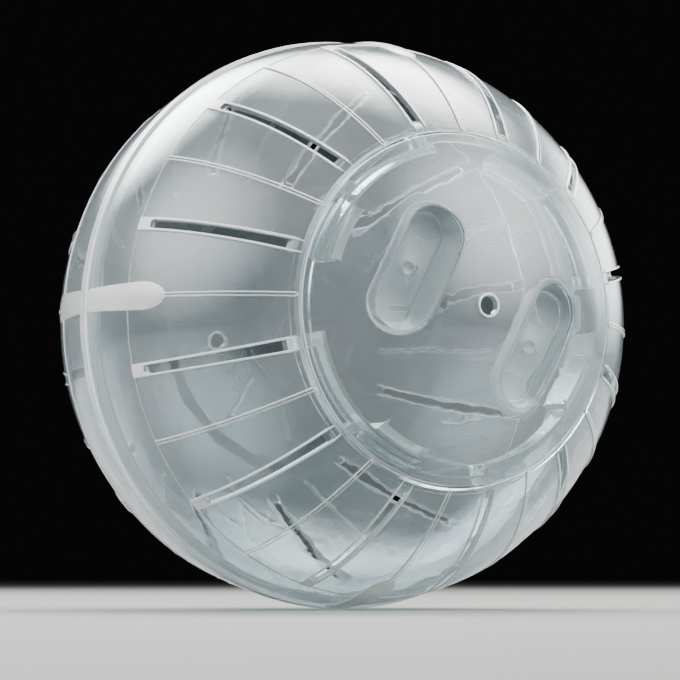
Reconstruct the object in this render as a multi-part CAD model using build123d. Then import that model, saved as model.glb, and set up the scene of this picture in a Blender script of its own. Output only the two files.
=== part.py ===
from build123d import *
import math
import os

# Hamster ball: two half shells moulded in thin translucent plastic, pushed together at the
# equator, and a round bayonet door in the front half. Millimetres. The ball is built about Z
# with the door on top, then turned so that the door faces -Y. Its centre is the origin.

# Half shells
BALL_RADIUS = 60.0       # outer radius of the sphere
WALL = 1.0               # thickness of both shells
CLEARANCE = 0.3          # between separate mouldings
RIM_PROUD = 0.4          # rim bead beyond the sphere
RIM_HEIGHT = 1.5         # rim bead of one half along the axis
SPIGOT_HEIGHT = 3.0      # how far the rear half's spigot reaches in between the tongues
SPIGOT_WALL = 1.0
SPIGOT_ROOT = 4.0        # length over which the spigot is joined to the rear wall
HUB_RADIUS = 2.0         # hole at each pole
HUB_RIM_WIDTH = 0.6
HUB_RIM_PROUD = 0.4

# Pattern on each half: air slots with raised lips, and a rib midway between them
PATTERN_COUNT = 12
PATTERN_TURN = -2.6      # angle of the first rib about the axis, as the ball lies
BAND_LATITUDE = 15.1     # fine bead where slots and ribs start
BAND_SECTION = 0.3       # radius of that bead's section
BAND_PROUD = 0.2
SLOT_LOW_LATITUDE = 18.4
SLOT_END_GAP = 2.2       # from a slot's upper end to the door's rebate
SLOT_LOW_WIDTH = 1.6
SLOT_HIGH_WIDTH = 1.8
LIP_WIDTH = 0.65
LIP_PROUD = 0.35
RIB_WIDTH = 1.0
RIB_PROUD = 0.3
PATTERN_END_GAP = 0.7    # from the end of lips and ribs to the door's rebate

# Snap clips: a raised leaf on each half, and behind it a tongue of the rear half
CLIP_COUNT = 4
LEAF_LENGTH = 25.0       # along the axis, from the equator
LEAF_TIP_RADIUS = 2.7
LEAF_ROOT_RADIUS = 1.6
LEAF_PROUD = 0.6
TONGUE_LENGTH = 12.0     # from the equator
TONGUE_WIDTH = 4.4

# Door opening in the front half
REBATE_RADIUS = 36.0     # outer edge of the step that the door sits in
SEAT_WIDTH = 4.7
COLLAR_WALL = 1.5
COLLAR_DROP = 4.7        # from the seat's inner edge to the underside of the collar
NOTCH_COUNT = 4
NOTCH_ANGLE = 25.0
NOTCH_CLEARANCE = 0.4    # beyond the door's feet
STOP_ANGLE = 5.0         # wall beside each notch that ends the unlocking turn
PIP_RADIUS = 1.2         # round pip that ends the locking turn
PIP_INSET = 2.5          # from the rebate's edge to the middle of the pip
PIP_FREE_ANGLE = 3.3     # left between a locked foot and its pip

# Door
DOOR_WALL = 1.4
DOOR_EDGE_GAP = 0.4
LOCK_TURN = 25.0         # from the notches to the locked place
FOOT_ANGLE = 22.0
LEG_WALL = 1.6
FOOT_REACH = 2.0         # how far a foot stands out from its leg
FOOT_HEIGHT = 1.6
POCKET_OFFSET = 16.0     # centre of a finger pocket from the axis
POCKET_LENGTH = 27.2     # at the mouth
POCKET_WIDTH = 12.8
POCKET_DRAFT = 1.0       # drawn in on each side at the floor
POCKET_FLOOR_DROP = 8.5  # floor below the top of the door

INNER_RADIUS = BALL_RADIUS - WALL
BITE = WALL / 2          # how deep raised features are rooted in the wall
SEAT_RADIUS = BALL_RADIUS - DOOR_WALL - CLEARANCE
SEAT_UNDER_RADIUS = SEAT_RADIUS - WALL
OPENING_RADIUS = REBATE_RADIUS - SEAT_WIDTH
FOOT_RADIUS = OPENING_RADIUS - CLEARANCE + FOOT_REACH
NOTCH_RADIUS = FOOT_RADIUS + NOTCH_CLEARANCE
PATTERN_STEP = 360 / PATTERN_COUNT
FROM_BELOW = (Align.CENTER, Align.CENTER, Align.MIN)


def height_on(sphere_radius, radius):
    """Height above the equator of a point of a sphere at a radius from the axis."""
    return math.sqrt(sphere_radius**2 - radius**2)


def parallel_radius(latitude):
    """Distance from the axis of the outer surface at a latitude."""
    return BALL_RADIUS * math.cos(math.radians(latitude))


COLLAR_UNDERSIDE = height_on(SEAT_RADIUS, OPENING_RADIUS) - COLLAR_DROP
FOOT_TOP = COLLAR_UNDERSIDE - CLEARANCE
FOOT_UNDERSIDE = FOOT_TOP - FOOT_HEIGHT


def on_arc(sphere_radius, low, high):
    """Profile arc of a sphere, in the XZ plane, between two heights."""
    points = []
    for height in (low, (low + high) / 2, high):
        points.append((height_on(sphere_radius, height), 0, height))
    return ThreePointArc(*points)


def turned(edges):
    """Solid of revolution of a chain of profile edges, closed by straight lines."""
    chain = [edges[0]]
    for edge in edges[1:]:
        chain.append(Line(chain[-1] @ 1, edge @ 0))
        chain.append(edge)
    chain.append(Line(chain[-1] @ 1, edges[0] @ 0))
    return revolve(make_face(chain), Axis.Z)


def spherical_layer(inner, outer):
    return Sphere(outer) - Sphere(inner)


def around(shape, count, first_angle):
    """Copies of a shape about the axis."""
    return [Rot(0, 0, first_angle + k * 360 / count) * shape for k in range(count)]


def ring_sector(inner, outer, low, high, start_angle, angle):
    """Block between two radii and two heights over an angle about the axis."""
    corners = [(inner, 0, low), (outer, 0, low), (outer, 0, high), (inner, 0, high)]
    section = make_face(Polyline(*corners, close=True))
    return Rot(0, 0, start_angle) * revolve(section, Axis.Z, angle)


def strip(inner, outer, inner_width, outer_width, top):
    """Tapered upright bar along X between two radii, from the equator plane to a height."""
    outline = Polygon(
        (inner, -inner_width / 2),
        (outer, -outer_width / 2),
        (outer, outer_width / 2),
        (inner, inner_width / 2),
        align=None,
    )
    return extrude(outline, top)


LIP_LAYER = spherical_layer(BALL_RADIUS - BITE, BALL_RADIUS + LIP_PROUD)
RIB_LAYER = spherical_layer(BALL_RADIUS - BITE, BALL_RADIUS + RIB_PROUD)
LEAF_LAYER = spherical_layer(BALL_RADIUS - BITE, BALL_RADIUS + LEAF_PROUD)
ABOVE_BALL = BALL_RADIUS + LIP_PROUD + LEAF_PROUD
PATTERN_LOW = parallel_radius(BAND_LATITUDE)
PATTERN_HIGH = REBATE_RADIUS + PATTERN_END_GAP
SLOT_LOW = parallel_radius(SLOT_LOW_LATITUDE)
SLOT_HIGH = REBATE_RADIUS + SLOT_END_GAP


def slot_cut():
    """Air slot through the wall, cut along the axis as a mould would."""
    return strip(SLOT_HIGH, SLOT_LOW, SLOT_HIGH_WIDTH, SLOT_LOW_WIDTH, ABOVE_BALL)


def slot_lips():
    """Two lips beside a slot, joined by a pad at its lower end."""
    both = 2 * LIP_WIDTH
    outside = strip(
        PATTERN_HIGH, PATTERN_LOW, SLOT_HIGH_WIDTH + both, SLOT_LOW_WIDTH + both, ABOVE_BALL
    )
    channel = strip(PATTERN_HIGH, SLOT_LOW, SLOT_HIGH_WIDTH, SLOT_LOW_WIDTH, ABOVE_BALL)
    return (outside - channel) & LIP_LAYER


def rib():
    straight = strip(PATTERN_HIGH, PATTERN_LOW, RIB_WIDTH, RIB_WIDTH, ABOVE_BALL)
    round_end = Pos(PATTERN_HIGH, 0, 0) * Cylinder(RIB_WIDTH / 2, ABOVE_BALL, align=FROM_BELOW)
    return (straight + round_end) & RIB_LAYER


def leaf():
    """Raised leaf over a clip, widest at its round tip, drawn in towards the equator."""
    root = Circle(LEAF_ROOT_RADIUS).edge()
    tip = (Pos(LEAF_LENGTH - LEAF_TIP_RADIUS, 0) * Circle(LEAF_TIP_RADIUS)).edge()
    outline = make_hull([root, tip])
    side_on = Plane(origin=(0, 0, 0), x_dir=(0, 0, 1), z_dir=(1, 0, 0))
    bar = extrude(side_on * outline, BALL_RADIUS + LEAF_PROUD)
    upper = Box(2 * ABOVE_BALL, 2 * ABOVE_BALL, ABOVE_BALL, align=FROM_BELOW)
    return bar & LEAF_LAYER & upper


def between_tongues():
    """What is cut from the spigot's upper part to leave a snap tongue behind each leaf."""
    disc = Cylinder(BALL_RADIUS, TONGUE_LENGTH, align=FROM_BELOW)
    bar = Box(BALL_RADIUS, TONGUE_WIDTH, TONGUE_LENGTH, align=(Align.MIN, Align.CENTER, Align.MIN))
    return Pos(0, 0, SPIGOT_HEIGHT) * (disc - around(bar, CLIP_COUNT, PATTERN_TURN))


def hub_rim():
    """Low raised rim round the hole at a pole."""
    tube = Cylinder(HUB_RADIUS + HUB_RIM_WIDTH, ABOVE_BALL, align=FROM_BELOW)
    top = BALL_RADIUS + HUB_RIM_PROUD
    return tube & Box(ABOVE_BALL, ABOVE_BALL, 2 * top) & spherical_layer(BALL_RADIUS - BITE, 2 * top)


def hub_hole():
    return Cylinder(HUB_RADIUS, 2 * ABOVE_BALL, align=FROM_BELOW)


def band_bead():
    centre = BALL_RADIUS + BAND_PROUD - BAND_SECTION
    angle = math.radians(BAND_LATITUDE)
    return Pos(0, 0, centre * math.sin(angle)) * Torus(centre * math.cos(angle), BAND_SECTION)


def raised_pattern():
    """Lips, ribs, leaves and the band bead of one half, above the equator."""
    lips = around(slot_lips(), PATTERN_COUNT, PATTERN_TURN + PATTERN_STEP / 2)
    ribs = around(rib(), PATTERN_COUNT, PATTERN_TURN)
    leaves = around(leaf(), CLIP_COUNT, PATTERN_TURN)
    return lips + ribs + leaves + [band_bead()]


def all_slots():
    return around(slot_cut(), PATTERN_COUNT, PATTERN_TURN + PATTERN_STEP / 2)


def front_half():
    rim_outside = BALL_RADIUS + RIM_PROUD
    step_inside = REBATE_RADIUS + WALL
    collar_outside = OPENING_RADIUS + COLLAR_WALL
    shell = turned([
        Line((rim_outside, 0, 0), (rim_outside, 0, RIM_HEIGHT)),
        on_arc(BALL_RADIUS, RIM_HEIGHT, height_on(BALL_RADIUS, REBATE_RADIUS)),
        on_arc(
            SEAT_RADIUS,
            height_on(SEAT_RADIUS, REBATE_RADIUS),
            height_on(SEAT_RADIUS, OPENING_RADIUS),
        ),
        Line((OPENING_RADIUS, 0, COLLAR_UNDERSIDE), (collar_outside, 0, COLLAR_UNDERSIDE)),
        on_arc(
            SEAT_UNDER_RADIUS,
            height_on(SEAT_UNDER_RADIUS, collar_outside),
            height_on(SEAT_UNDER_RADIUS, step_inside),
        ),
        on_arc(INNER_RADIUS, height_on(INNER_RADIUS, step_inside), 0),
    ])
    under_seat = height_on(SEAT_RADIUS, REBATE_RADIUS) - BITE
    notch = ring_sector(
        OPENING_RADIUS - WALL, NOTCH_RADIUS, 0, BALL_RADIUS, -NOTCH_ANGLE / 2, NOTCH_ANGLE
    )
    stop = ring_sector(
        OPENING_RADIUS, REBATE_RADIUS, FOOT_UNDERSIDE, under_seat, NOTCH_ANGLE / 2, STOP_ANGLE
    )
    pip_from_axis = REBATE_RADIUS - PIP_INSET
    pip_half_angle = math.degrees(PIP_RADIUS / pip_from_axis)
    pip_turn = PATTERN_TURN - LOCK_TURN - FOOT_ANGLE / 2 - PIP_FREE_ANGLE - pip_half_angle
    pip_top = max(under_seat, COLLAR_UNDERSIDE + BITE)
    pip = Pos(pip_from_axis, 0, FOOT_UNDERSIDE) * Cylinder(
        PIP_RADIUS, pip_top - FOOT_UNDERSIDE, align=FROM_BELOW
    )
    blocks = around(stop, NOTCH_COUNT, PATTERN_TURN) + around(pip, NOTCH_COUNT, pip_turn)
    shell = shell + raised_pattern() + blocks
    return shell - all_slots() - around(notch, NOTCH_COUNT, PATTERN_TURN)


def rear_half():
    rim_outside = BALL_RADIUS + RIM_PROUD
    spigot_outside = INNER_RADIUS - CLEARANCE
    spigot_inside = spigot_outside - SPIGOT_WALL
    pole = 2 * BALL_RADIUS
    shell = turned([
        Line((rim_outside, 0, 0), (rim_outside, 0, -RIM_HEIGHT)),
        on_arc(BALL_RADIUS, -RIM_HEIGHT, -height_on(BALL_RADIUS, HUB_RADIUS)),
        on_arc(INNER_RADIUS, -height_on(INNER_RADIUS, HUB_RADIUS), -SPIGOT_ROOT),
        on_arc(spigot_inside, -SPIGOT_ROOT, TONGUE_LENGTH),
        on_arc(spigot_outside, TONGUE_LENGTH, 0),
    ])
    pattern = [mirror(shape, about=Plane.XY) for shape in raised_pattern() + [hub_rim()]]
    slots = [mirror(shape, about=Plane.XY) for shape in all_slots()]
    return shell + pattern - slots - between_tongues() - (Pos(0, 0, -pole) * hub_hole())


def pocket(grow):
    """Finger pocket's outline solid, drawn in towards its floor, larger all round by a wall."""
    floor = BALL_RADIUS - POCKET_FLOOR_DROP - grow
    mouth = height_on(BALL_RADIUS, POCKET_OFFSET)
    drafted = POCKET_DRAFT * (BALL_RADIUS - floor) / (mouth - floor)
    low = Pos(0, 0, floor) * SlotOverall(
        POCKET_LENGTH + 2 * (grow - POCKET_DRAFT), POCKET_WIDTH + 2 * (grow - POCKET_DRAFT)
    )
    high = Pos(0, 0, BALL_RADIUS) * SlotOverall(
        POCKET_LENGTH + 2 * (grow - POCKET_DRAFT + drafted),
        POCKET_WIDTH + 2 * (grow - POCKET_DRAFT + drafted),
    )
    return Pos(0, POCKET_OFFSET, 0) * loft([low, high], ruled=True)


def door():
    lug_turn = PATTERN_TURN - LOCK_TURN
    edge = REBATE_RADIUS - DOOR_EDGE_GAP
    under = BALL_RADIUS - DOOR_WALL
    cap = turned([
        on_arc(BALL_RADIUS, height_on(BALL_RADIUS, edge), height_on(BALL_RADIUS, HUB_RADIUS)),
        on_arc(under, height_on(under, HUB_RADIUS), height_on(under, edge)),
    ])
    leg_outside = OPENING_RADIUS - CLEARANCE
    leg_inside = leg_outside - LEG_WALL
    leg_top = height_on(under, leg_outside) + DOOR_WALL / 2
    leg = ring_sector(
        leg_inside, leg_outside, FOOT_UNDERSIDE, leg_top, -FOOT_ANGLE / 2, FOOT_ANGLE
    )
    foot = ring_sector(
        leg_inside, FOOT_RADIUS, FOOT_UNDERSIDE, FOOT_TOP, -FOOT_ANGLE / 2, FOOT_ANGLE
    )
    lugs = around(leg + foot, NOTCH_COUNT, lug_turn)
    pocket_turn = lug_turn + 90
    shells = [shape & Sphere(BALL_RADIUS) for shape in around(pocket(DOOR_WALL), 2, pocket_turn)]
    solid = cap + lugs + shells + [hub_rim()]
    return solid - around(pocket(0), 2, pocket_turn) - hub_hole()


os.makedirs("parts", exist_ok=True)
FACE_FRONT = Rot(90, 0, 0)
export_step(FACE_FRONT * front_half(), "parts/front_half.step")
export_step(FACE_FRONT * rear_half(), "parts/rear_half.step")
export_step(FACE_FRONT * door(), "parts/door.step")
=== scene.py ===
import math

import bmesh
import bpy
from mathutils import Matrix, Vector
from mathutils.geometry import delaunay_2d_cdt


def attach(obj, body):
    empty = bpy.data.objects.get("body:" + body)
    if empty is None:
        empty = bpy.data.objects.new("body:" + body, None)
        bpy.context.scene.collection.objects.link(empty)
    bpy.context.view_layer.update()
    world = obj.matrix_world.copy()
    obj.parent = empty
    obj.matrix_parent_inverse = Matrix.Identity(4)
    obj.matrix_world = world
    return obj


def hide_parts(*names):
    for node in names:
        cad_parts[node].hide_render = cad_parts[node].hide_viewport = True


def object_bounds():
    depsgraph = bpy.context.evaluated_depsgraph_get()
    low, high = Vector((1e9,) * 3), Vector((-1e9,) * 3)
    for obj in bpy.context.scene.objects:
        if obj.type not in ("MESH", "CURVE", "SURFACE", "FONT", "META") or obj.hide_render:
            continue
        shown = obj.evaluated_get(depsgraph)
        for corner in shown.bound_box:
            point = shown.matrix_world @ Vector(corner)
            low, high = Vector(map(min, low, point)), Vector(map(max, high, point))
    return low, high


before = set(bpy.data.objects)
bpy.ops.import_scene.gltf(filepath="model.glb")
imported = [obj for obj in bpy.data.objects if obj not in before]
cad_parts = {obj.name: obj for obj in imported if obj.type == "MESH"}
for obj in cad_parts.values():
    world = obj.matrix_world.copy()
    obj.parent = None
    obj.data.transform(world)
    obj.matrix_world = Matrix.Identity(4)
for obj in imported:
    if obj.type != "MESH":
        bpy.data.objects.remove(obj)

CAD_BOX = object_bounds()

# Rear half: one moulding in thin, milky clear polypropylene, drawn off the mould along the ball's
# axis. It has twelve lipped air slots, twelve ribs, four raised clip leaves and a hub hole at its pole.
# Its spigot and four snap tongues push into the front half.
BALL_RADIUS = 0.060
WALL = 0.0010
CLEARANCE = 0.0003
RIM_PROUD = 0.00055
RIM_HEIGHT = 0.0015
SECTORS = 12
PATTERN_TURN = math.radians(-2.6)
BAND_LATITUDE = math.radians(15.1)
BAND_HALF = math.radians(0.15)
BAND_PROUD = 0.0002
SLOT_LOW_LATITUDE = math.radians(18.4)
SLOT_HIGH_FROM_AXIS = 0.0382
SLOT_LOW_WIDTH = 0.0018
SLOT_HIGH_WIDTH = 0.0021
SLOT_CORNER = 0.0004
LIP_WIDTH = 0.0005
LIP_PROUD = 0.00035
LIP_TIP_SHARE = 0.35
RIB_WIDTH = 0.0010
RIB_CORE_SHARE = 0.4
RIB_TIP_SHARE = 0.4
RIB_END_MIDDLE = 0.25 * RIB_WIDTH
RIB_END_REACH = 0.45 * RIB_WIDTH
RIB_PROUD = 0.0003
PATTERN_HIGH_FROM_AXIS = 0.0367
REBATE_FROM_AXIS = 0.036
LEAF_EVERY = 3
LEAF_LENGTH = 0.0255
LEAF_TIP_LENGTH = 0.006
LEAF_TIP_RADIUS = 0.0029
LEAF_TIP_LEAST = 0.6 * RIB_WIDTH
LEAF_TIP_FALL = 3
LEAF_ROOT_RADIUS = 0.0023
LEAF_SHOULDER = 0.62
SHOULDER_OFF_RIB = 1.1
LEAF_PROUD = 0.0006
LEAF_SHOULDER_PROUD = 0.00048
LEAF_EDGE_PROUD = 0.00014
REAR_LEAF_SHARE = 0.35
PLAIN_MARGIN = 0.0016
SPIGOT_WALL = 0.0010
SPIGOT_OUTSIDE = BALL_RADIUS - WALL - CLEARANCE
SPIGOT_INSIDE = SPIGOT_OUTSIDE - SPIGOT_WALL
SPIGOT_HEIGHT = 0.003
SPIGOT_ROOT = 0.004
TONGUES = 4
TONGUE_LENGTH = 0.012
TONGUE_WIDTH = 0.0044
HUB_RADIUS = 0.002
HUB_RIM_WIDTH = 0.00045
HUB_RIM_PROUD = 0.0004
# Two places or two turns less than a hair apart count as one.
HAIR = 1e-6


def about_axis(from_axis, along, bearing):
    """Point at a distance from the ball's axis, a distance towards the door and an angle about the axis."""
    return Vector((from_axis * math.cos(bearing), -along, from_axis * math.sin(bearing)))


def spread(low, high, count):
    """Evenly spaced values from low, with high itself left out."""
    return [low + (high - low) * k / count for k in range(count)]


def latitude_at(from_axis, radius=BALL_RADIUS):
    """Latitude on a sphere, counted from the ball's equator, at a distance from the axis."""
    return math.acos(from_axis / radius)


def mould_wall(bm, rows, columns, form_of, point_of, finish_of, end_row_open):
    """Closed wall over a grid of cells round the axis, with raised forms and holes.

    form_of(face, row, column) names a cell's form on its outer or inner face, None at a hole. A form such
    as wall.bead lies in the surface of the wall and differs in finish alone; on the bead that finish is a
    painted highlight. point_of(face, level, row, column) is a corner, and finish_of(part, form) the finish
    of a form's top, riser or cut side. Returns a function that gives the corners along a row.
    """
    corners = {}

    def level(form):
        return form.split(".")[0]

    def corner(face, form, row, column):
        key = (face, level(form), row, column % columns)
        if key not in corners:
            corners[key] = bm.verts.new(point_of(*key))
        return corners[key]

    def skin(points, finish):
        bm.faces.new(points).material_index = finish

    def levels_round(row, column):
        """The levels, on both faces, of the cells that meet at a corner."""
        found = set()
        for cell_row in (row - 1, row):
            for cell_column in (column - 1, column):
                for face in ("outer", "inner"):
                    form = form_of(face, cell_row, cell_column % columns) if 0 <= cell_row < rows else None
                    if form:
                        found.add((face, level(form)))
        return found

    def riser(row, column, low, high):
        """Corners up one edge of a step, with those of other levels that lie on it."""
        start = corner(*low, row, column)
        end = corner(*high, row, column)
        height = (end.co - start.co).length
        between = []
        for pair in levels_round(row, column) - {low, high}:
            point = corner(*pair, row, column)
            up = (point.co - start.co).length
            if HAIR < up < height - HAIR and (point.co - end.co).length < height:
                between.append((up, len(between), point))
        return [start] + [point for _, _, point in sorted(between)] + [end]

    def step(one_end, other_end, low, high, finish):
        skin(riser(*one_end, low, high) + riser(*other_end, low, high)[::-1], finish)

    def meet(one_end, other_end, here, there):
        """Upright walls between two cells that differ, or round a hole."""
        for face in ("outer", "inner"):
            if here[face] and there[face] and level(here[face]) != level(there[face]):
                finish = max(finish_of("riser", here[face]), finish_of("riser", there[face]))
                step(one_end, other_end, (face, level(here[face])), (face, level(there[face])), finish)
        solid = here if here["outer"] else there
        if solid["outer"] and not (here["outer"] and there["outer"]):
            low = ("inner", level(solid["inner"]))
            high = ("outer", level(solid["outer"]))
            step(one_end, other_end, low, high, finish_of("cut", solid["outer"]))

    def cell(row, column):
        return {face: form_of(face, row, column % columns) for face in ("outer", "inner")}

    hole = {"outer": None, "inner": None}
    for row in range(rows):
        for column in range(columns):
            here = cell(row, column)
            for face, form in here.items():
                if form:
                    ring = [(row, column), (row, column + 1), (row + 1, column + 1), (row + 1, column)]
                    skin([corner(face, form, *place) for place in ring], finish_of("top", form))
            meet((row, column + 1), (row + 1, column + 1), here, cell(row, column + 1))
            if row + 1 < rows:
                meet((row + 1, column), (row + 1, column + 1), here, cell(row + 1, column))
            elif end_row_open:
                meet((row + 1, column), (row + 1, column + 1), here, hole)

    def corners_along(face, row):
        chain = []
        for column in range(columns):
            form = form_of(face, min(row, rows - 1), column)
            for end in (column, column + 1):
                point = corner(face, form, row, end)
                if point not in chain:
                    chain.append(point)
        return chain

    return corners_along


def ring_of_points(bm, from_axis, along, bearings):
    return [bm.verts.new(about_axis(from_axis, along, bearing)) for bearing in bearings]


SLOT_BEARING = PATTERN_TURN + math.pi / SECTORS


def join_rings(bm, first, second, finish, centre=Vector((0, 0, 0))):
    """Skin between two rings of points round a centre, which may differ in count."""
    def turn_of(point):
        out = point.co - centre
        return (math.atan2(out.z, out.x) - SLOT_BEARING - 10 * HAIR) % math.tau

    def unrolled(ring):
        turns = [turn_of(point) for point in ring]
        lead = turns.index(min(turns))
        order = [(lead + k) % len(ring) for k in range(len(ring))]
        return [ring[k] for k in order] + [ring[lead]], [turns[k] for k in order] + [turns[lead] + math.tau]

    one, one_turns = unrolled(first)
    two, two_turns = unrolled(second)
    i = 0
    j = 0
    while i < len(first) or j < len(second):
        one_next = one_turns[i + 1] if i < len(first) else math.inf
        two_next = two_turns[j + 1] if j < len(second) else math.inf
        corner_points = [one[i], two[j]]
        if two_next <= one_next + HAIR:
            j += 1
            corner_points.append(two[j])
        if one_next <= two_next + HAIR:
            i += 1
            corner_points.append(one[i])
        bm.faces.new(corner_points).material_index = finish


def slot_half_width(latitude):
    low = BALL_RADIUS * math.cos(SLOT_LOW_LATITUDE)
    share = (low - BALL_RADIUS * math.cos(latitude)) / (low - SLOT_HIGH_FROM_AXIS)
    return (SLOT_LOW_WIDTH + (SLOT_HIGH_WIDTH - SLOT_LOW_WIDTH) * min(max(share, 0), 1)) / 2


def lip_width(latitude):
    """Width of a lip, which runs out to a narrow tip beyond the slot's upper end."""
    beyond = SLOT_HIGH_FROM_AXIS - BALL_RADIUS * math.cos(latitude)
    share = min(max(beyond / (SLOT_HIGH_FROM_AXIS - PATTERN_HIGH_FROM_AXIS), 0), 1)
    return LIP_WIDTH * (1 - share * (1 - LIP_TIP_SHARE))


def rib_half_width(latitude):
    """Half a rib's width, drawn in over its round end."""
    half = RIB_WIDTH / 2
    beyond = max(PATTERN_HIGH_FROM_AXIS - BALL_RADIUS * math.cos(latitude), 0)
    return math.sqrt(max(half**2 - beyond**2, (RIB_TIP_SHARE * half)**2))


def leaf_half_width(latitude):
    """Half the leaf's width at a latitude, and a plain margin beside the rib beyond its tip."""
    along = BALL_RADIUS * math.sin(latitude)
    tip_start = LEAF_LENGTH - LEAF_TIP_LENGTH
    if along > LEAF_LENGTH + HAIR:
        return PLAIN_MARGIN
    if along > tip_start:
        into_tip = (along - tip_start) / LEAF_TIP_LENGTH
        return max(LEAF_TIP_RADIUS * math.sqrt(max(1 - into_tip**2, 0)), LEAF_TIP_LEAST)
    return LEAF_ROOT_RADIUS + (LEAF_TIP_RADIUS - LEAF_ROOT_RADIUS) * along / tip_start


RIM_TOP = math.asin(RIM_HEIGHT / BALL_RADIUS)
SLOT_HIGH_LATITUDE = latitude_at(SLOT_HIGH_FROM_AXIS)
PATTERN_HIGH_LATITUDE = latitude_at(PATTERN_HIGH_FROM_AXIS)
RIB_END_LATITUDE = latitude_at(PATTERN_HIGH_FROM_AXIS - RIB_END_REACH)
LEAF_TIP_LATITUDE = math.asin(LEAF_LENGTH / BALL_RADIUS)
RIB_CELLS = 2
LEAF_CELLS = RIB_CELLS + 2
BLANK_CELLS = 5
LIP_CELLS = 1
HALF_SECTOR_CELLS = LEAF_CELLS + BLANK_CELLS + LIP_CELLS
SECTOR_CELLS = 2 * HALF_SECTOR_CELLS + 1
PLAIN_ROWS = 6
PAD_ROWS = 3
LEAF_TIP_ROWS = 6
SLOT_ROWS = 12
LATITUDES = [
    0, *spread(RIM_TOP, BAND_LATITUDE - BAND_HALF, PLAIN_ROWS),
    BAND_LATITUDE - BAND_HALF, BAND_LATITUDE,
    *spread(BAND_LATITUDE + BAND_HALF, SLOT_LOW_LATITUDE, PAD_ROWS),
    SLOT_LOW_LATITUDE, SLOT_LOW_LATITUDE + SLOT_CORNER / BALL_RADIUS, *[
        math.asin((LEAF_LENGTH - LEAF_TIP_LENGTH * (1 - math.sin(turn))) / BALL_RADIUS)
        for turn in spread(0, math.pi / 2, LEAF_TIP_ROWS)
    ],
    *spread(LEAF_TIP_LATITUDE, SLOT_HIGH_LATITUDE, SLOT_ROWS),
    SLOT_HIGH_LATITUDE, PATTERN_HIGH_LATITUDE,
    latitude_at(PATTERN_HIGH_FROM_AXIS - RIB_END_MIDDLE), RIB_END_LATITUDE,
    latitude_at(REBATE_FROM_AXIS),
]
BAND_ROW = LATITUDES.index(BAND_LATITUDE)
PROUD = {"wall": 0, "rim": RIM_PROUD, "lip": LIP_PROUD, "rib": RIB_PROUD}
WALL_FINISH, INNER_FINISH, EDGE_HIGHLIGHT_PAINT, MILKY_FINISH, LIP_MILK_AND_HIGHLIGHT, LEAF_FINISH = range(6)


def column_bearing(row, column):
    """Bearing of a grid column at a row: it follows the slot's edge, its lip, the leaf and the rib."""
    sector, place = divmod(column, SECTOR_CELLS)
    latitude = LATITUDES[row]
    from_axis = BALL_RADIUS * math.cos(latitude)
    centre = SLOT_BEARING + sector * math.tau / SECTORS
    if place == 0:
        return centre - math.pi / SECTORS
    side = -1 if place <= HALF_SECTOR_CELLS else 1
    rib = sector if side < 0 else sector + 1
    margin = leaf_half_width(latitude) if rib % LEAF_EVERY == 0 else PLAIN_MARGIN
    rib_half = rib_half_width(latitude)
    lip_edge = math.asin((slot_half_width(latitude) + lip_width(latitude)) / from_axis)
    blank_end = math.pi / SECTORS - math.asin(margin / from_axis)
    corner = SLOT_CORNER if latitude == SLOT_LOW_LATITUDE else 0
    marks = [math.asin((slot_half_width(latitude) - corner) / from_axis)]
    marks += [*spread(lip_edge, blank_end, BLANK_CELLS), blank_end]
    shoulder = max(LEAF_SHOULDER * margin, SHOULDER_OFF_RIB * rib_half)
    for from_rib in (shoulder, rib_half, RIB_CORE_SHARE * rib_half):
        marks.append(math.pi / SECTORS - math.asin(from_rib / from_axis))
    step = HALF_SECTOR_CELLS - place if side < 0 else place - HALF_SECTOR_CELLS - 1
    return centre + side * marks[step]


def outer_form(row, column):
    sector, place = divmod(column, SECTOR_CELLS)
    latitude = (LATITUDES[row] + LATITUDES[row + 1]) / 2
    from_rib = min(place, SECTOR_CELLS - 1 - place)
    rib = sector if place < HALF_SECTOR_CELLS else sector + 1
    from_slot = abs(place - HALF_SECTOR_CELLS)
    if latitude < RIM_TOP:
        return "rim"
    if from_rib < LEAF_CELLS and rib % LEAF_EVERY == 0 and latitude < LEAF_TIP_LATITUDE:
        return "leaf"
    if from_slot == 0 and SLOT_LOW_LATITUDE < latitude < SLOT_HIGH_LATITUDE:
        return None
    beside_slot = from_slot == LIP_CELLS or from_slot == 0 and latitude < SLOT_LOW_LATITUDE
    if beside_slot and BAND_LATITUDE < latitude < PATTERN_HIGH_LATITUDE:
        return "lip" if from_slot else "lip.end"
    if from_rib < RIB_CELLS and BAND_LATITUDE < latitude < RIB_END_LATITUDE:
        return "rib.core" if from_rib == 0 else "rib"
    return "wall.bead" if abs(latitude - BAND_LATITUDE) < BAND_HALF else "wall"


def half_form(face, row, column):
    form = outer_form(row, column)
    return form if face == "outer" or form is None else "wall.inside"


def leaf_proud(row, column):
    """The leaf is a low pillow: it falls from its middle to its outline and over its tip."""
    place = column % SECTOR_CELLS
    from_middle = min(place, SECTOR_CELLS - place)
    steps = {LEAF_CELLS: LEAF_EDGE_PROUD, LEAF_CELLS - 1: LEAF_SHOULDER_PROUD}
    proud = steps.get(from_middle, LEAF_PROUD)
    left = (LEAF_LENGTH - BALL_RADIUS * math.sin(LATITUDES[row])) / LEAF_TIP_LENGTH
    fall = math.sqrt(max(1 - max(1 - left, 0)**LEAF_TIP_FALL, 0))
    return LEAF_EDGE_PROUD + (proud - LEAF_EDGE_PROUD) * fall


def half_finish(raised):
    """Finishes of one half, given those of the tops of its raised forms.

    Risers and cut sides are plain, apart from a leaf's. The inner face has a finish of its own.
    """
    def finish(part, form):
        if form == "wall.inside":
            return INNER_FINISH
        return raised.get(form, WALL_FINISH) if part == "top" or form == "leaf" else WALL_FINISH
    return finish


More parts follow.
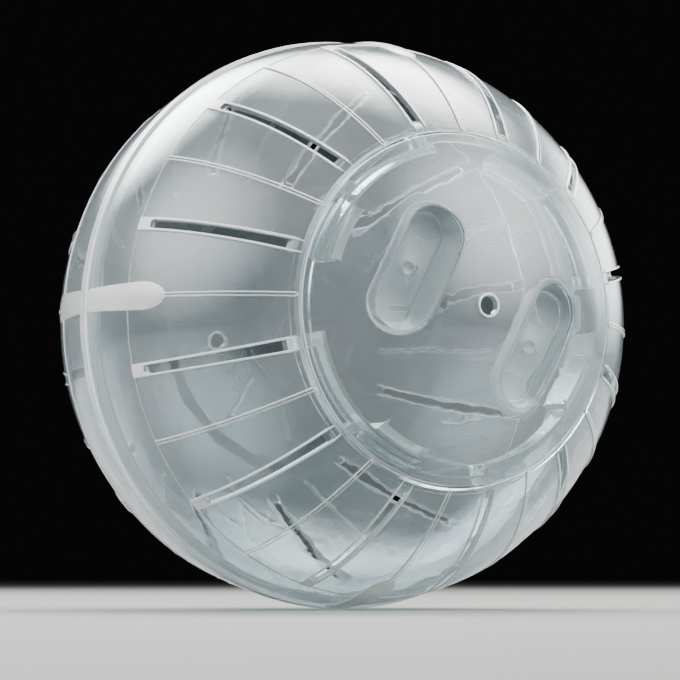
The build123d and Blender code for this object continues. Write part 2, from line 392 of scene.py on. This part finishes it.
def half_corner(side, inner_latitude, leaf_share):
    """Corner points of one half: side is 1 towards the door and -1 away from it."""
    def point(face, level, row, column):
        latitude = LATITUDES[row]
        bearing = column_bearing(row, column)
        if face == "inner":
            latitude = inner_latitude(latitude)
            radius = BALL_RADIUS - WALL
        elif level == "leaf":
            radius = BALL_RADIUS + leaf_share * leaf_proud(row, column)
        elif level == "wall" and row == BAND_ROW:
            radius = BALL_RADIUS + BAND_PROUD
        else:
            radius = BALL_RADIUS + PROUD[level]
        return about_axis(radius * math.cos(latitude), side * radius * math.sin(latitude), bearing)
    return point


SPIGOT_STEPS = 16


def spigot_bearings():
    """Columns of the spigot: the two edges of each tongue, and even steps between tongues."""
    half = math.asin(TONGUE_WIDTH / 2 / SPIGOT_OUTSIDE)
    apart = math.tau / TONGUES
    found = []
    for k in range(TONGUES):
        start = PATTERN_TURN + k * apart
        found += [start - half, *spread(start + half, start + apart - half, SPIGOT_STEPS)]
    return found


REFRACTION = 1.49
NOISE_LOW = 0.3
NOISE_HIGH = 0.7
TINT_NOISE = (35, 3)
GLOSS_NOISE = (160, 2)
HAZE_NOISE = (60, 2)
WAVE_DETAIL = 1.5


def polypropylene(name, tints, clearness, gloss, waves, lets_through):
    """Milky clear polypropylene: haze that varies, soft gloss, and waves given by scale and depth.

    Each face lets a share of the lamplight through to whatever lies behind the thin wall.
    """
    material = bpy.data.materials.new(name)
    material.use_nodes = True
    nodes = material.node_tree.nodes
    link = material.node_tree.links.new
    shader = nodes["Principled BSDF"]
    shader.inputs["IOR"].default_value = REFRACTION
    place = nodes.new("ShaderNodeTexCoord")

    def noise(scale, detail):
        node = nodes.new("ShaderNodeTexNoise")
        node.inputs["Scale"].default_value = scale
        node.inputs["Detail"].default_value = detail
        link(place.outputs["Object"], node.inputs["Vector"])
        return node.outputs["Fac"]

    def between(value, low, high):
        node = nodes.new("ShaderNodeMapRange")
        node.inputs["From Min"].default_value = NOISE_LOW
        node.inputs["From Max"].default_value = NOISE_HIGH
        node.inputs["To Min"].default_value = low
        node.inputs["To Max"].default_value = high
        link(value, node.inputs["Value"])
        return node.outputs["Result"]

    ramp = nodes.new("ShaderNodeValToRGB")
    ramp.color_ramp.elements[0].color = (*tints[0], 1)
    ramp.color_ramp.elements[1].color = (*tints[1], 1)
    link(between(noise(*TINT_NOISE), 0, 1), ramp.inputs["Fac"])
    link(ramp.outputs["Color"], shader.inputs["Base Color"])
    link(between(noise(*GLOSS_NOISE), *gloss), shader.inputs["Roughness"])
    link(between(noise(*HAZE_NOISE), *clearness), shader.inputs["Transmission Weight"])
    normal = None
    for scale, depth in waves:
        bump = nodes.new("ShaderNodeBump")
        bump.inputs["Strength"].default_value = 1.0
        bump.inputs["Distance"].default_value = depth
        link(noise(scale, WAVE_DETAIL), bump.inputs["Height"])
        if normal:
            link(normal, bump.inputs["Normal"])
        normal = bump.outputs["Normal"]
    link(normal, shader.inputs["Normal"])
    path = nodes.new("ShaderNodeLightPath")
    lit_through = nodes.new("ShaderNodeBsdfTransparent")
    lit_through.inputs["Color"].default_value = (*lets_through, 1)
    choice = nodes.new("ShaderNodeMixShader")
    link(path.outputs["Is Shadow Ray"], choice.inputs["Fac"])
    link(shader.outputs["BSDF"], choice.inputs[1])
    link(lit_through.outputs["BSDF"], choice.inputs[2])
    link(choice.outputs["Shader"], nodes["Material Output"].inputs["Surface"])
    return material


GENTLE = [(45, 0.00012)]
CRINKLED = [(60, 0.0001), (260, 0.00003)]
DIMMED = (0.60, 0.63, 0.64)
CLEAR = (0.88, 0.90, 0.905)
COOL = [(0.74, 0.83, 0.87), (0.85, 0.90, 0.92)]
SKIN = polypropylene("milky_skin", COOL, (0.77, 0.83), (0.015, 0.03), GENTLE, DIMMED)
INSIDE = polypropylene("crinkled_inside", COOL, (0.96, 0.98), (0.015, 0.035), CRINKLED, CLEAR)
# Painted edge highlight: a near-white, mostly opaque plastic on rounded edges, rib middles, the bead and
# the door's rim, painted to stand in for the bright lines that light draws along clear plastic edges.
PAINTED_EDGE_HIGHLIGHT = polypropylene(
    "painted_edge_highlight", [(0.93, 0.94, 0.93), (0.98, 0.98, 0.97)], (0.15, 0.3), (0.08, 0.16), GENTLE, CLEAR
)
MILKY = polypropylene(
    "milky_thick", [(0.88, 0.90, 0.90), (0.95, 0.95, 0.94)], (0.3, 0.45), (0.05, 0.1), GENTLE, CLEAR
)
# Lip white: partly the milkier look of thicker moulded plastic, partly a painted highlight for the bright
# lines that light draws along lips, rims, the collar's edge, the hub rim, the feet and the pockets' walls.
MILKY_LIP_AND_HIGHLIGHT = polypropylene(
    "milky_lip_and_painted_highlight", [(0.94, 0.94, 0.92), (0.98, 0.98, 0.96)], (0.1, 0.22), (0.08, 0.16), GENTLE, CLEAR
)
CLIP_LEAF = polypropylene(
    "clip_leaf", [(0.88, 0.90, 0.88), (0.96, 0.96, 0.93)], (0.12, 0.3), (0.15, 0.3), GENTLE, CLEAR
)
SHELL_FINISHES = [SKIN, INSIDE, PAINTED_EDGE_HIGHLIGHT, MILKY, MILKY_LIP_AND_HIGHLIGHT, CLIP_LEAF]
EDGE_ROUND = 0.00013
ROUND_ROOM = 2.2
SHARP_ANGLE = math.radians(40)


def finish_piece(name, bm, materials, rounding_material, body):
    """Turns the built faces into a smooth piece with softened outer edges that rides on its body.

    An edge is softened where the faces beside it have room for the rounding.
    """
    bmesh.ops.recalc_face_normals(bm, faces=bm.faces)
    softness = bm.edges.layers.float.new("bevel_weight_edge")
    for edge in bm.edges:
        least = ROUND_ROOM * EDGE_ROUND * edge.calc_length()
        roomy = all(face.calc_area() > least for face in edge.link_faces)
        edge[softness] = 1.0 if roomy and edge.calc_face_angle_signed() > SHARP_ANGLE else 0.0
    mesh = bpy.data.meshes.new(name)
    bm.to_mesh(mesh)
    bm.free()
    for material in materials:
        mesh.materials.append(material)
    mesh.polygons.foreach_set("use_smooth", [True] * len(mesh.polygons))
    mesh.set_sharp_from_angle(angle=SHARP_ANGLE)
    piece = bpy.data.objects.new(name, mesh)
    bpy.context.scene.collection.objects.link(piece)
    soften = piece.modifiers.new("moulded_edges", "BEVEL")
    soften.width = EDGE_ROUND
    soften.segments = 2
    soften.limit_method = "WEIGHT"
    soften.use_clamp_overlap = False
    # The rounded edges take this material. On the front half and the door it is the painted edge highlight.
    soften.material = rounding_material
    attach(piece, body)
    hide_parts(body)


def rear_inner_latitude(latitude):
    """The inner face starts at the spigot's root, and keeps to the outer one's rows beyond the bead."""
    root = math.asin(SPIGOT_ROOT / (BALL_RADIUS - WALL))
    return latitude if latitude > BAND_LATITUDE else root + latitude * (1 - root / BAND_LATITUDE)


rear = bmesh.new()
ROWS = len(LATITUDES) - 1
COLUMNS = SECTORS * SECTOR_CELLS
rear_row = mould_wall(
    rear, ROWS, COLUMNS, half_form, half_corner(-1, rear_inner_latitude, REAR_LEAF_SHARE),
    # Rib middles and the bead carry the painted edge highlight. Lips are milky white that is partly painted
    # highlight.
    half_finish({
        "rim": MILKY_FINISH, "lip": LIP_MILK_AND_HIGHLIGHT, "rib.core": EDGE_HIGHLIGHT_PAINT, "leaf": MILKY_FINISH,
        "wall.bead": EDGE_HIGHLIGHT_PAINT
    }), False
)

HUB_POINTS = 72
HUB_BEARINGS = spread(SLOT_BEARING, SLOT_BEARING + math.tau, HUB_POINTS)
CAP_ROWS = 12
CAP_TOP_LATITUDE = math.radians(87)
CAP_LATITUDES = spread(latitude_at(REBATE_FROM_AXIS), CAP_TOP_LATITUDE, CAP_ROWS)[1:]
ring = rear_row("outer", ROWS)
hub_outside = HUB_RADIUS + HUB_RIM_WIDTH
hub_top = BALL_RADIUS + HUB_RIM_PROUD
cap_profile = [(BALL_RADIUS * math.cos(t), BALL_RADIUS * math.sin(t), WALL_FINISH) for t in CAP_LATITUDES]
cap_profile += [
    (hub_outside, BALL_RADIUS, WALL_FINISH), (hub_outside, hub_top, MILKY_FINISH),
    (HUB_RADIUS, hub_top, MILKY_FINISH), (HUB_RADIUS, BALL_RADIUS - WALL, WALL_FINISH),
]
inside = BALL_RADIUS - WALL
cap_profile += [(inside * math.cos(t), inside * math.sin(t), INNER_FINISH) for t in CAP_LATITUDES[::-1]]
for from_axis, along, finish in cap_profile:
    next_ring = ring_of_points(rear, from_axis, -along, HUB_BEARINGS)
    join_rings(rear, ring, next_ring, finish)
    ring = next_ring
join_rings(rear, ring, rear_row("inner", ROWS), INNER_FINISH)

TONGUE_ROWS = 3
SPIGOT_ALONG = [0, SPIGOT_HEIGHT, *spread(SPIGOT_HEIGHT, TONGUE_LENGTH, TONGUE_ROWS)[1:], TONGUE_LENGTH]
SPIGOT_BEARINGS = spigot_bearings()
SPIGOT_CELLS = len(SPIGOT_BEARINGS) // TONGUES


def spigot_form(face, row, column):
    return "spigot" if row == 0 or column % SPIGOT_CELLS == 0 else None


def spigot_corner(face, level, row, column):
    along = SPIGOT_ALONG[row]
    radius = SPIGOT_OUTSIDE if face == "outer" else SPIGOT_INSIDE
    return about_axis(math.sqrt(radius**2 - along**2), along, SPIGOT_BEARINGS[column])


def spigot_finish(part, form):
    return MILKY_FINISH


spigot_row = mould_wall(
    rear, len(SPIGOT_ALONG) - 1, len(SPIGOT_BEARINGS), spigot_form, spigot_corner, spigot_finish, True
)
join_rings(rear, rear_row("outer", 0), spigot_row("outer", 0), MILKY_FINISH)
root_from_axis = math.sqrt(SPIGOT_INSIDE**2 - SPIGOT_ROOT**2)
root_ring = ring_of_points(rear, root_from_axis, -SPIGOT_ROOT, SPIGOT_BEARINGS)
join_rings(rear, spigot_row("inner", 0), root_ring, MILKY_FINISH)
join_rings(rear, root_ring, rear_row("inner", 0), INNER_FINISH)
finish_piece("rear_half_moulding", rear, SHELL_FINISHES, WALL_FINISH, "rear_half")

# Front half: the same moulding with a round opening for the door. A step down at its edge seats the
# door, and the collar inside it has four notches that let the door's feet in, with a stop beside each
# notch and a round pip where the locking turn ends.
DOOR_WALL = 0.0014
SEAT_RADIUS = BALL_RADIUS - DOOR_WALL - CLEARANCE
OPENING_RADIUS = 0.0313
NOTCHES = 4
NOTCH_RADIUS = 0.0334
COLLAR_WALL = 0.0015
COLLAR_EDGE_WIDTH = 0.0006
COLLAR_DROP = 0.0047
STEP_INSIDE = REBATE_FROM_AXIS + WALL
STEP_LEAN = 0.0006
FOOT_HEIGHT = 0.0016
COLLAR_UNDERSIDE = math.sqrt(SEAT_RADIUS**2 - OPENING_RADIUS**2) - COLLAR_DROP
FOOT_TOP = COLLAR_UNDERSIDE - CLEARANCE
FOOT_UNDERSIDE = FOOT_TOP - FOOT_HEIGHT
SEAT_CELLS = 18
NOTCH_CELLS = 5
SEAT_STEP = math.tau / NOTCHES / SEAT_CELLS
SEAT_FIRST_BEARING = PATTERN_TURN - NOTCH_CELLS * SEAT_STEP / 2
STOP_ROW, NOTCH_ROW, COLLAR_ROW, EDGE_ROW = range(1, 5)
COLLAR_OUTSIDE = OPENING_RADIUS + COLLAR_WALL
COLLAR_RADII = [NOTCH_RADIUS, COLLAR_OUTSIDE, OPENING_RADIUS + COLLAR_EDGE_WIDTH, OPENING_RADIUS]
SEAT_OUTER_RADII = [REBATE_FROM_AXIS, (REBATE_FROM_AXIS + NOTCH_RADIUS) / 2, *COLLAR_RADII]
SEAT_INNER_RADII = [STEP_INSIDE - STEP_LEAN, REBATE_FROM_AXIS, *COLLAR_RADII]
PIP_RADIUS = 0.0012
PIP_ROUND = 0.0004
PIP_FROM_AXIS = 0.0335
PIP_TURN = math.radians(-41.4)
PIP_POINTS = 20
INNER_SHIFT_START = math.radians(38)


def front_inner_latitude(latitude):
    """The inner face ends where the step's inside wall starts, a little short of the outer edge."""
    start = INNER_SHIFT_START
    if latitude < start:
        return latitude
    end = latitude_at(REBATE_FROM_AXIS)
    inner_end = latitude_at(STEP_INSIDE, BALL_RADIUS - WALL)
    return start + (latitude - start) * (inner_end - start) / (end - start)


def seat_form(face, row, column):
    place = column % SEAT_CELLS
    if place < NOTCH_CELLS and row >= NOTCH_ROW:
        return None
    if face == "outer":
        return "seat.edge" if row == EDGE_ROW else "seat"
    if place == NOTCH_CELLS and row >= STOP_ROW:
        return "stop"
    return "collar" if row >= COLLAR_ROW else "seat"


def seat_corner(face, level, row, column):
    bearing = SEAT_FIRST_BEARING + column * SEAT_STEP
    if face == "outer":
        from_axis = SEAT_OUTER_RADII[row]
        return about_axis(from_axis, math.sqrt(SEAT_RADIUS**2 - from_axis**2), bearing)
    from_axis = SEAT_INNER_RADII[row]
    along = {
        "seat": math.sqrt((SEAT_RADIUS - WALL)**2 - from_axis**2),
        "collar": COLLAR_UNDERSIDE,
        "stop": FOOT_UNDERSIDE,
    }[level]
    return about_axis(from_axis, along, bearing)


def seat_finish(part, form):
    # The collar's edge is lip white, partly a painted highlight.
    return LIP_MILK_AND_HIGHLIGHT if form == "seat.edge" and part == "top" else INNER_FINISH


def band_between(bm, first, second, finish):
    """Skin between two rings with the same count of points."""
    for k in range(len(first)):
        following = (k + 1) % len(first)
        face = bm.faces.new([first[k], first[following], second[following], second[k]])
        face.material_index = finish


front = bmesh.new()
front_row = mould_wall(
    front, ROWS, COLUMNS, half_form, half_corner(1, front_inner_latitude, 1),
    # Ribs and the bead carry the painted edge highlight. Lips, lip ends and the rim are milky white that is
    # partly painted highlight.
    half_finish({
        "rim": LIP_MILK_AND_HIGHLIGHT, "lip": LIP_MILK_AND_HIGHLIGHT, "lip.end": LIP_MILK_AND_HIGHLIGHT, "rib": EDGE_HIGHLIGHT_PAINT,
        "leaf": LEAF_FINISH, "wall.bead": EDGE_HIGHLIGHT_PAINT
    }), False
)
seat_row = mould_wall(
    front, len(SEAT_OUTER_RADII) - 1, NOTCHES * SEAT_CELLS, seat_form, seat_corner, seat_finish, True
)
join_rings(front, front_row("outer", ROWS), seat_row("outer", 0), WALL_FINISH)
join_rings(front, front_row("inner", ROWS), seat_row("inner", 0), INNER_FINISH)
join_rings(front, front_row("outer", 0), front_row("inner", 0), MILKY_FINISH)
pip_profile = [
    (PIP_RADIUS, math.sqrt(SEAT_RADIUS**2 - PIP_FROM_AXIS**2) - WALL / 2),
    (PIP_RADIUS, FOOT_UNDERSIDE + PIP_ROUND),
    (PIP_RADIUS - PIP_ROUND / 3, FOOT_UNDERSIDE + PIP_ROUND / 3),
    (PIP_RADIUS - PIP_ROUND, FOOT_UNDERSIDE),
]
for k in range(NOTCHES):
    pip_bearing = PIP_TURN + k * math.tau / NOTCHES + PATTERN_TURN
    pip_rings = []
    for from_middle, along in pip_profile:
        middle = about_axis(PIP_FROM_AXIS, along, pip_bearing)
        round_middle = [about_axis(from_middle, 0, t) for t in spread(0, math.tau, PIP_POINTS)]
        pip_rings.append([front.verts.new(middle + point) for point in round_middle])
    for one, other in zip(pip_rings, pip_rings[1:]):
        band_between(front, one, other, MILKY_FINISH)
    front.faces.new(pip_rings[0]).material_index = MILKY_FINISH
    front.faces.new(pip_rings[-1]).material_index = MILKY_FINISH
finish_piece("front_half_moulding", front, SHELL_FINISHES, EDGE_HIGHLIGHT_PAINT, "front_half")

# Door: a domed cap moulded in the same plastic, flush with the ball, with two pockets that finger and
# thumb turn it by. Four legs with outward feet pass the notches and lock under the collar after a turn
# of 25 degrees. Each foot ramps at the end that goes in first.
DOOR_EDGE_GAP = 0.0004
DOOR_EDGE = REBATE_FROM_AXIS - DOOR_EDGE_GAP
DOOR_INSIDE = BALL_RADIUS - DOOR_WALL
LOCK_TURN = math.radians(25)
LUG_TURN = PATTERN_TURN - LOCK_TURN
LEG_WALL = 0.0016
LEG_OUTSIDE = OPENING_RADIUS - CLEARANCE
LEG_INSIDE = LEG_OUTSIDE - LEG_WALL
FOOT_REACH = 0.002
FOOT_RADIUS = LEG_OUTSIDE + FOOT_REACH
FOOT_HALF_ANGLE = math.radians(11)
FOOT_STEPS = 10
FOOT_SIDES = (1, 2, 3)
FOOT_RAMP_ANGLE = math.radians(6)
FOOT_RAMP_DROP = 0.0009
POCKET_OFFSET = 0.0159
POCKET_LENGTH = 0.0272
POCKET_WIDTH = 0.0112
POCKET_DRAFT = 0.0012
POCKET_WALL = 0.0012
POCKET_DROP = 0.0075
POCKET_FLOOR = BALL_RADIUS - POCKET_DROP
POCKET_MOUTH = math.sqrt(BALL_RADIUS**2 - POCKET_OFFSET**2)
POCKET_END_POINTS = 14
POCKET_SIDE_POINTS = 8
MOUTH_ROUND = 0.0005
FLOOR_ROUND = 0.0008
ROUND_STEPS = 4
EJECTOR_RADIUS = 0.0014
EJECTOR_BAND = 0.15
EJECTOR_STEP = 0.00006
EJECTOR_POINTS = 32
SKIN_SPACING = 0.0016
SKIN_GAP = 0.6 * SKIN_SPACING
SKIN_LEAST_POINTS = 6


def height_at(point, radius):
    """How far towards the door a sphere reaches at a point's place off the axis."""
    return math.sqrt(radius**2 - point.x**2 - point.z**2)


def pocket_outline(turn, offset):
    """Points of a pocket's outline, grown by an offset that may vary with the place on it."""
    half_run = (POCKET_LENGTH - POCKET_WIDTH) / 2
    quarter = math.pi / 2
    stations = [(half_run, normal) for normal in spread(-quarter, quarter, POCKET_END_POINTS)]
    stations += [(run, quarter) for run in spread(half_run, -half_run, POCKET_SIDE_POINTS)]
    stations += [(-half_run, normal) for normal in spread(quarter, 3 * quarter, POCKET_END_POINTS)]
    stations += [(run, 3 * quarter) for run in spread(-half_run, half_run, POCKET_SIDE_POINTS)]

    def grown(run, normal, by):
        reach = POCKET_WIDTH / 2 + by
        across = POCKET_OFFSET + reach * math.sin(normal)
        length = run + reach * math.cos(normal)
        return about_axis(math.hypot(length, across), 0, turn + math.atan2(across, length))

    return [grown(run, normal, offset(grown(run, normal, 0))) for run, normal in stations]


def drafted(along):
    """How far the pocket's wall stands out at a height, from the draft that lets it leave the mould."""
    return POCKET_DRAFT * ((along - POCKET_FLOOR) / (POCKET_MOUTH - POCKET_FLOOR) - 1)


def pocket_rings(bm, turn, sphere, floor, grow, finish):
    """Rings of points down one face of a pocket's wall, from the dome to its floor."""
    rings = []
    for tilt in spread(0, math.pi / 2, ROUND_STEPS):
        out = MOUTH_ROUND * (1 - math.sin(tilt))
        down = MOUTH_ROUND * (1 - math.cos(tilt))
        outline = pocket_outline(turn, lambda p: grow + out + drafted(height_at(p, sphere)))
        rings.append([bm.verts.new(p - Vector((0, height_at(p, sphere) - down, 0))) for p in outline])
    for tilt in [*spread(0, math.pi / 2, ROUND_STEPS), math.pi / 2]:
        out = grow + drafted(floor + FLOOR_ROUND) - FLOOR_ROUND * (1 - math.cos(tilt))
        along = floor + FLOOR_ROUND * (1 - math.sin(tilt))
        rings.append([bm.verts.new(p - Vector((0, along, 0))) for p in pocket_outline(turn, lambda p: out)])
    for k in range(len(rings) - 1):
        band_between(bm, rings[k], rings[k + 1], WALL_FINISH if k < ROUND_STEPS - 1 else finish)
    return rings


def inside_ring(ring, point):
    """Whether a point lies in a ring, both seen along the ball's axis."""
    inside = False
    for one, other in zip(ring, ring[1:] + ring[:1]):
        if (one.co.z > point.z) != (other.co.z > point.z):
            share = (point.z - one.co.z) / (other.co.z - one.co.z)
            inside ^= point.x < one.co.x + share * (other.co.x - one.co.x)
    return inside


def dome_skin(bm, edge, holes, radius, finish):
    """Dome between its edge and the rings of its holes, in even small triangles."""
    def clear(point):
        if any(inside_ring(ring, point) for ring in holes):
            return False
        gaps = (math.hypot(p.co.x - point.x, p.co.z - point.z) for ring in holes for p in ring)
        return min(gaps) > SKIN_GAP

    points = list(edge)
    links = [(k, (k + 1) % len(edge)) for k in range(len(edge))]
    for ring in holes:
        first = len(points)
        points += ring
        links += [(first + k, first + (k + 1) % len(ring)) for k in range(len(ring))]
    for from_axis in spread(DOOR_EDGE, 0, round(DOOR_EDGE / SKIN_SPACING))[1:]:
        count = max(round(math.tau * from_axis / SKIN_SPACING), SKIN_LEAST_POINTS)
        for bearing in spread(0, math.tau, count):
            place = about_axis(from_axis, 0, bearing + from_axis / SKIN_SPACING)
            if clear(place):
                points.append(bm.verts.new(place - Vector((0, height_at(place, radius), 0))))
    plan = [Vector((p.co.x, p.co.z)) for p in points]
    found = delaunay_2d_cdt(plan, links, [], 0, HAIR / 10)
    for triangle in found[2]:
        corner_points = [points[found[3][k][0]] for k in triangle]
        middle = sum((p.co for p in corner_points), Vector()) / 3
        if not any(inside_ring(ring, middle) for ring in holes):
            bm.faces.new(corner_points).material_index = finish


door = bmesh.new()
EDGE_POINTS = 160
EDGE_BEARINGS = spread(0, math.tau, EDGE_POINTS)
HOLE_POINTS = 40
HOLE_BEARINGS = spread(0, math.tau, HOLE_POINTS)
edge_top = ring_of_points(door, DOOR_EDGE, math.sqrt(BALL_RADIUS**2 - DOOR_EDGE**2), EDGE_BEARINGS)
edge_under = ring_of_points(door, DOOR_EDGE, math.sqrt(DOOR_INSIDE**2 - DOOR_EDGE**2), EDGE_BEARINGS)
# The door's rim carries the painted edge highlight.
band_between(door, edge_top, edge_under, EDGE_HIGHLIGHT_PAINT)
top_holes = []
under_holes = []
hub_rings = []
for from_axis, along in (
    (hub_outside, math.sqrt(BALL_RADIUS**2 - hub_outside**2)), (hub_outside, hub_top),
    (HUB_RADIUS, hub_top), (HUB_RADIUS, math.sqrt(DOOR_INSIDE**2 - HUB_RADIUS**2)),
):
    hub_rings.append(ring_of_points(door, from_axis, along, HOLE_BEARINGS))
for one, other, finish in zip(hub_rings, hub_rings[1:], (WALL_FINISH, LIP_MILK_AND_HIGHLIGHT, WALL_FINISH)):
    band_between(door, one, other, finish)
top_holes.append(hub_rings[0])
under_holes.append(hub_rings[-1])

for pocket_turn in (LUG_TURN + math.pi / 2, LUG_TURN - math.pi / 2):
    inner = pocket_rings(door, pocket_turn, BALL_RADIUS, POCKET_FLOOR, 0, WALL_FINISH)
    under_floor = POCKET_FLOOR - POCKET_WALL
    # The pockets' outer walls are lip white, partly a painted highlight that makes them brighter.
    outer = pocket_rings(door, pocket_turn, DOOR_INSIDE, under_floor, POCKET_WALL, LIP_MILK_AND_HIGHLIGHT)
    top_holes.append(inner[0])
    under_holes.append(outer[0])
    door.faces.new(outer[-1]).material_index = WALL_FINISH
    middle = about_axis(POCKET_OFFSET, POCKET_FLOOR, pocket_turn + math.pi / 2)
    ring = inner[-1]
    for out, rise in ((1 + EJECTOR_BAND, 0), (1, EJECTOR_STEP), (1 - EJECTOR_BAND, 0)):
        mark = []
        for bearing in spread(0, math.tau, EJECTOR_POINTS):
            mark.append(door.verts.new(middle + about_axis(out * EJECTOR_RADIUS, rise, bearing)))
        join_rings(door, ring, mark, WALL_FINISH, middle)
        ring = mark
    door.faces.new(ring).material_index = WALL_FINISH

for k in range(NOTCHES):
    sections = []
    for bearing in [*spread(-FOOT_HALF_ANGLE, FOOT_HALF_ANGLE, FOOT_STEPS), FOOT_HALF_ANGLE]:
        into_ramp = max(0, 1 - (bearing + FOOT_HALF_ANGLE) / FOOT_RAMP_ANGLE)
        top = FOOT_TOP - FOOT_RAMP_DROP * into_ramp
        profile = [
            (LEG_INSIDE, math.sqrt(DOOR_INSIDE**2 - LEG_INSIDE**2)), (LEG_INSIDE, FOOT_UNDERSIDE),
            (FOOT_RADIUS, FOOT_UNDERSIDE), (FOOT_RADIUS, top), (LEG_OUTSIDE, top),
            (LEG_OUTSIDE, math.sqrt(DOOR_INSIDE**2 - LEG_OUTSIDE**2)),
        ]
        at = LUG_TURN + k * math.tau / NOTCHES + bearing
        sections.append([door.verts.new(about_axis(*spot, at)) for spot in profile])
    for one, other in zip(sections, sections[1:]):
        for spot in range(len(one) - 1):
            face = door.faces.new([one[spot], one[spot + 1], other[spot + 1], other[spot]])
            # The feet's sides are lip white, partly a painted highlight.
            face.material_index = LIP_MILK_AND_HIGHLIGHT if spot in FOOT_SIDES else WALL_FINISH
    for end in (sections[0], sections[-1]):
        door.faces.new(end).material_index = LIP_MILK_AND_HIGHLIGHT
    under_holes.append([s[0] for s in sections] + [s[-1] for s in sections[::-1]])

dome_skin(door, edge_top, top_holes, BALL_RADIUS, WALL_FINISH)
dome_skin(door, edge_under, under_holes, DOOR_INSIDE, INNER_FINISH)
DOOR_FINISHES = SHELL_FINISHES[:LIP_MILK_AND_HIGHLIGHT + 1]
finish_piece("door_moulding", door, DOOR_FINISHES, EDGE_HIGHLIGHT_PAINT, "door")

# Floor: a plain pale sheet, painted matt, that the ball lies on. It is no part of the ball, and reaches
# far enough to fade into the dark room.
FLOOR_HALF = 4.0
FLOOR_DROP = 0.0001
FLOOR_COLOUR = (0.23, 0.23, 0.226, 1)
FLOOR_ROUGHNESS = 0.7
floor_height = CAD_BOX[0].z - FLOOR_DROP
floor_mesh = bpy.data.meshes.new("floor")
floor_mesh.from_pydata(
    [(x * FLOOR_HALF, y * FLOOR_HALF, floor_height) for x, y in ((-1, -1), (1, -1), (1, 1), (-1, 1))],
    [], [(0, 1, 2, 3)]
)
floor = bpy.data.objects.new("floor", floor_mesh)
bpy.context.scene.collection.objects.link(floor)
floor_paint = bpy.data.materials.new("pale_floor")
floor_paint.use_nodes = True
floor_shader = floor_paint.node_tree.nodes["Principled BSDF"]
floor_shader.inputs["Base Color"].default_value = FLOOR_COLOUR
floor_shader.inputs["Roughness"].default_value = FLOOR_ROUGHNESS
floor_mesh.materials.append(floor_paint)

# Light: five soft boxes round the ball in a dark room. Lamplight passes straight through the thin
# walls, so no bent rays of it are worked out as well.
ROOM_COLOUR = (0.006, 0.006, 0.007, 1)
BOX_MIDDLE = (0.5, 0.5, 0)
FADE_START = 0.05
FADE_END = 0.5
world = bpy.data.worlds.new("dark_room")
bpy.context.scene.world = world
world.use_nodes = True
world.node_tree.nodes["Background"].inputs["Color"].default_value = ROOM_COLOUR


def soft_box(name, place, size, power, tint):
    """Lamp box that faces the ball, brightest in its middle and fading to its edges."""
    light = bpy.data.lights.new(name, "AREA")
    light.shape = "RECTANGLE"
    light.size = size[0]
    light.size_y = size[1]
    light.energy = power
    light.color = tint
    light.use_nodes = True
    nodes = light.node_tree.nodes
    link = light.node_tree.links.new
    spot = nodes.new("ShaderNodeNewGeometry")
    away = nodes.new("ShaderNodeVectorMath")
    away.operation = "DISTANCE"
    away.inputs[1].default_value = BOX_MIDDLE
    link(spot.outputs["Parametric"], away.inputs[0])
    fade = nodes.new("ShaderNodeMapRange")
    fade.interpolation_type = "SMOOTHSTEP"
    fade.inputs["From Min"].default_value = FADE_START
    fade.inputs["From Max"].default_value = FADE_END
    fade.inputs["To Min"].default_value = 1
    fade.inputs["To Max"].default_value = 0
    link(away.outputs["Value"], fade.inputs["Value"])
    link(fade.outputs["Result"], nodes["Emission"].inputs["Strength"])
    lamp = bpy.data.objects.new(name, light)
    lamp.location = place
    lamp.rotation_mode = "QUATERNION"
    lamp.rotation_quaternion = (-Vector(place)).to_track_quat("-Z", "Y")
    bpy.context.scene.collection.objects.link(lamp)


soft_box("top_box", (0.26, 0.20, 0.66), (1.0, 0.8), 36, (1.0, 0.99, 0.95))
soft_box("back_box", (-0.08, 0.66, 0.56), (0.9, 0.7), 30, (0.97, 0.99, 1.0))
soft_box("left_box", (-0.80, 0.10, 0.48), (1.5, 1.3), 38, (0.97, 0.99, 1.0))
soft_box("front_box", (0.50, -0.62, 0.52), (1.7, 1.5), 60, (0.98, 0.99, 0.98))
soft_box("far_right_box", (0.86, 0.28, 0.26), (1.0, 0.7), 10, (0.97, 0.99, 1.0))
bpy.context.scene.view_settings.look = "AgX - Medium High Contrast"
bpy.context.scene.cycles.caustics_refractive = False
bpy.context.scene.cycles.caustics_reflective = False

# Camera: a long lens, nearly level with the ball, turned towards its door from the left. It stands close
# above the floor and looks slightly up.
LENS_LENGTH = 178.03
SENSOR_WIDTH = 36
NEAREST = 0.01
VIEW_AZIMUTH = math.radians(-28.84)
VIEW_ELEVATION = math.radians(-3.96)
VIEW_DISTANCE = 0.7186
BALL_RIGHT_OF_CENTRE = 0.00044
BALL_ABOVE_CENTRE = 0.00326
right = Vector((math.cos(VIEW_AZIMUTH), math.sin(VIEW_AZIMUTH), 0))
back = Vector((
    math.sin(VIEW_AZIMUTH) * math.cos(VIEW_ELEVATION),
    -math.cos(VIEW_AZIMUTH) * math.cos(VIEW_ELEVATION),
    math.sin(VIEW_ELEVATION),
))
up = back.cross(right)
lens = bpy.data.cameras.new("camera")
lens.sensor_width = SENSOR_WIDTH
lens.lens = LENS_LENGTH
lens.clip_start = NEAREST
camera = bpy.data.objects.new("camera", lens)
camera.location = back * VIEW_DISTANCE - right * BALL_RIGHT_OF_CENTRE - up * BALL_ABOVE_CENTRE
camera.rotation_mode = "QUATERNION"
camera.rotation_quaternion = (-back).to_track_quat("-Z", "Y")
bpy.context.scene.collection.objects.link(camera)
bpy.context.scene.camera = camera
